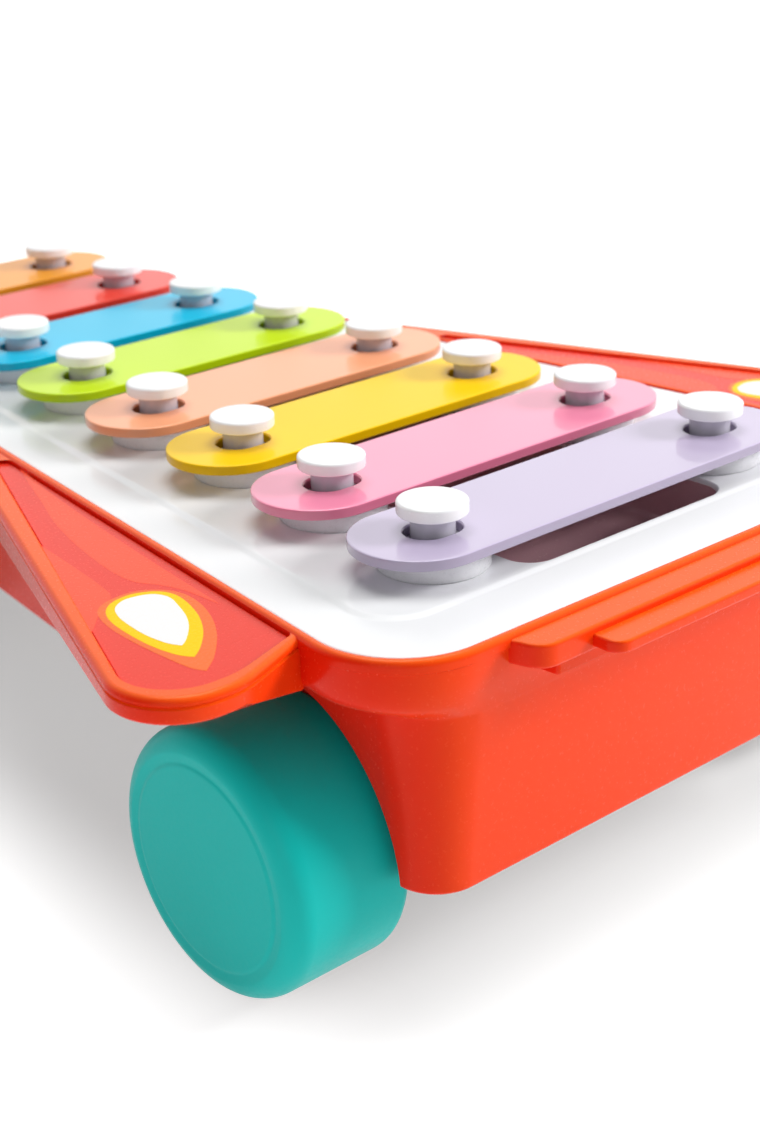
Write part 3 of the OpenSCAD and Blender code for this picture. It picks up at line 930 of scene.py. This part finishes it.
for side_name in ("left", "right"):
    def on_side(part):
        return mirrored(part) if side_name == "right" else part

    panel = build("panel_" + side_name + "_print", [on_side(panel_plate())],
                  finishes["panel"], 40, weighted=True)
    register(panel, "chassis", "panel_" + side_name)
    for name, finish, top, sharp, outlines in PRINTS:
        sheets = [on_side(print_sheet(points, sharp, top)) for points in outlines]
        area_print = build("fin_" + side_name + "_" + name, sheets, finishes[finish], 40)
        register(area_print, "chassis", None)

# ---------------------------------------------------------------------------
# CAD nodes that stay, with their finishes
# ---------------------------------------------------------------------------
for node, finish in (("base", "base"), ("axle_front", "steel"), ("axle_rear", "steel"),
                     ("base_screws", "screw"), ("peg_screws_left", "screw"),
                     ("peg_screws_right", "screw")):
    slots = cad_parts[node].data.materials
    slots.clear()
    slots.append(finishes[finish])

# ---------------------------------------------------------------------------
# Floor, in metres
# ---------------------------------------------------------------------------
FLOOR_HALF, FLOOR_Z = 6, -0.0002
TOY_HALF = (0.058, 0.108)   # half sizes of the area round the toy that stays darker, as a painted shadow


def floor_material():
    """Paper with painted light: it glows more with distance, and for the camera more outside the
    toy's area, which leaves a painted shadow round the toy.
    """
    mat = bpy.data.materials.new("studio_floor")
    mat.use_nodes = True
    tree = mat.node_tree
    surface = tree.nodes["Principled BSDF"]
    for key, value in (("Base Color", (0.62, 0.62, 0.62, 1)), ("Roughness", 0.9),
                       ("Specular IOR Level", 0.0), ("Emission Color", (1, 1, 1, 1))):
        surface.inputs[key].default_value = value
    place = add_node(tree, "TexCoord").outputs["Object"]
    distance = add_node(tree, "VectorMath", {0: place}, operation="LENGTH")
    glow = add_node(tree, "MapRange", {"Value": distance.outputs["Value"], "From Min": 0.30,
                                       "From Max": 1.0, "To Min": 0.45, "To Max": 0.85})
    axes = add_node(tree, "SeparateXYZ", {0: place})
    outside = add_node(tree, "CombineXYZ")
    gap = add_node(tree, "VectorMath", {0: outside.outputs[0]}, operation="LENGTH")
    for i, half in enumerate(TOY_HALF):
        size = add_node(tree, "Math", {0: axes.outputs[i]}, operation="ABSOLUTE")
        beyond = add_node(tree, "Math", {0: size.outputs[0], 1: half}, operation="SUBTRACT")
        kept = add_node(tree, "Math", {0: beyond.outputs[0], 1: 0.0}, operation="MAXIMUM")
        tree.links.new(kept.outputs[0], outside.inputs[i])
    # for the camera: painted shadow close round the toy, painted light further out
    extra = add_node(tree, "MapRange", {"Value": gap.outputs["Value"], "From Min": 0.0,
                                        "From Max": 0.045, "To Min": -0.08, "To Max": 0.42},
                     interpolation_type="SMOOTHSTEP")
    ray = add_node(tree, "LightPath")
    total = add_node(tree, "Math", {0: ray.outputs["Is Camera Ray"], 1: extra.outputs[0],
                                    2: glow.outputs[0]}, operation="MULTIPLY_ADD")
    tree.links.new(total.outputs[0], surface.inputs["Emission Strength"])
    return mat


def build_floor():
    paper = floor_material()
    mesh = bpy.data.meshes.new("floor")
    mesh.from_pydata([(x * FLOOR_HALF, y * FLOOR_HALF, FLOOR_Z)
                      for x, y in ((-1, -1), (1, -1), (1, 1), (-1, 1))], [], [(0, 1, 2, 3)])
    floor = bpy.data.objects.new("floor", mesh)
    scene.collection.objects.link(floor)
    mesh.materials.append(paper)


build_floor()


# ---------------------------------------------------------------------------
# World, lights and camera, in metres
# ---------------------------------------------------------------------------
def build_world():
    """White surroundings: brighter to the camera, and graded by direction in reflections."""
    world = bpy.data.worlds.new("studio")
    scene.world = world
    world.use_nodes = True
    tree = world.node_tree
    background = tree.nodes["Background"]
    background.inputs[0].default_value = (1.0, 1.0, 1.0, 1)
    ray = add_node(tree, "LightPath")
    plain = add_node(tree, "Math", {0: ray.outputs["Is Camera Ray"], 1: 0.75, 2: 0.31},
                     operation="MULTIPLY_ADD")
    total = add_node(tree, "Math", {1: 1.0, 2: plain.outputs[0]}, operation="MULTIPLY_ADD")
    direction = add_node(tree, "TexCoord").outputs["Generated"]
    towards = add_node(tree, "VectorMath", {0: direction, 1: (0.62, 0.55, 0.56)},
                       operation="DOT_PRODUCT")
    graded = add_node(tree, "MapRange", {"Value": towards.outputs["Value"],
                                         "From Min": -0.25, "From Max": 0.55,
                                         "To Min": -0.22, "To Max": 0.80},
                      interpolation_type="SMOOTHSTEP")
    glossy = add_node(tree, "Math", {0: ray.outputs["Is Glossy Ray"], 1: graded.outputs[0]},
                      operation="MULTIPLY")
    tree.links.new(glossy.outputs[0], total.inputs[0])
    tree.links.new(total.outputs[0], background.inputs[1])


def area_light(name, place, target, size, power):
    light = bpy.data.lights.new(name, "AREA")
    light.shape = "RECTANGLE"
    light.size = light.size_y = size
    light.energy = power
    obj = bpy.data.objects.new(name, light)
    obj.location = place
    aim = Vector(target) - Vector(place)
    obj.rotation_euler = aim.to_track_quat("-Z", "Y").to_euler()
    scene.collection.objects.link(obj)
    return obj


def build_camera():
    lens = bpy.data.cameras.new("camera")
    camera = bpy.data.objects.new("camera", lens)
    scene.collection.objects.link(camera)
    right = Vector((0.74872, -0.66218, -0.0304)).normalized()
    forward = Vector((0.60104, 0.69751, -0.39018)).normalized()
    up = right.cross(forward).normalized()
    turn = Matrix((right, up, -forward)).transposed().to_4x4()
    camera.matrix_world = Matrix.Translation((-0.24326, -0.32521, 0.19853)) @ turn
    lens.lens = 60.87
    lens.sensor_width = 36.0
    lens.shift_x = 0.0036
    lens.shift_y = 0.0003
    lens.clip_start = 0.01
    focus = bpy.data.objects.new("focus", None)
    focus.location = (-0.037, -0.1006, 0.080)
    scene.collection.objects.link(focus)
    lens.dof.use_dof = True
    lens.dof.focus_object = focus
    lens.dof.aperture_fstop = 26.0
    scene.camera = camera


build_world()
area_light("top_softbox", place=(0.15, 0.10, 1.0), target=(0, -0.02, 0.05), size=0.6, power=5.2)
key = area_light("key_softbox", place=(0.78, -0.66, 0.56), target=(0, -0.06, 0.05), size=0.36,
                 power=10.5)
key.visible_glossy = False
area_light("left_fill", place=(-0.8, -0.55, 0.30), target=(-0.05, -0.05, 0.04), size=0.5,
           power=0.8)
build_camera()
scene.view_settings.view_transform = "Standard"
scene.view_settings.look = "None"
scene.view_settings.exposure = 0.0
scene.cycles.use_denoising = True
scene.cycles.max_bounces = 8
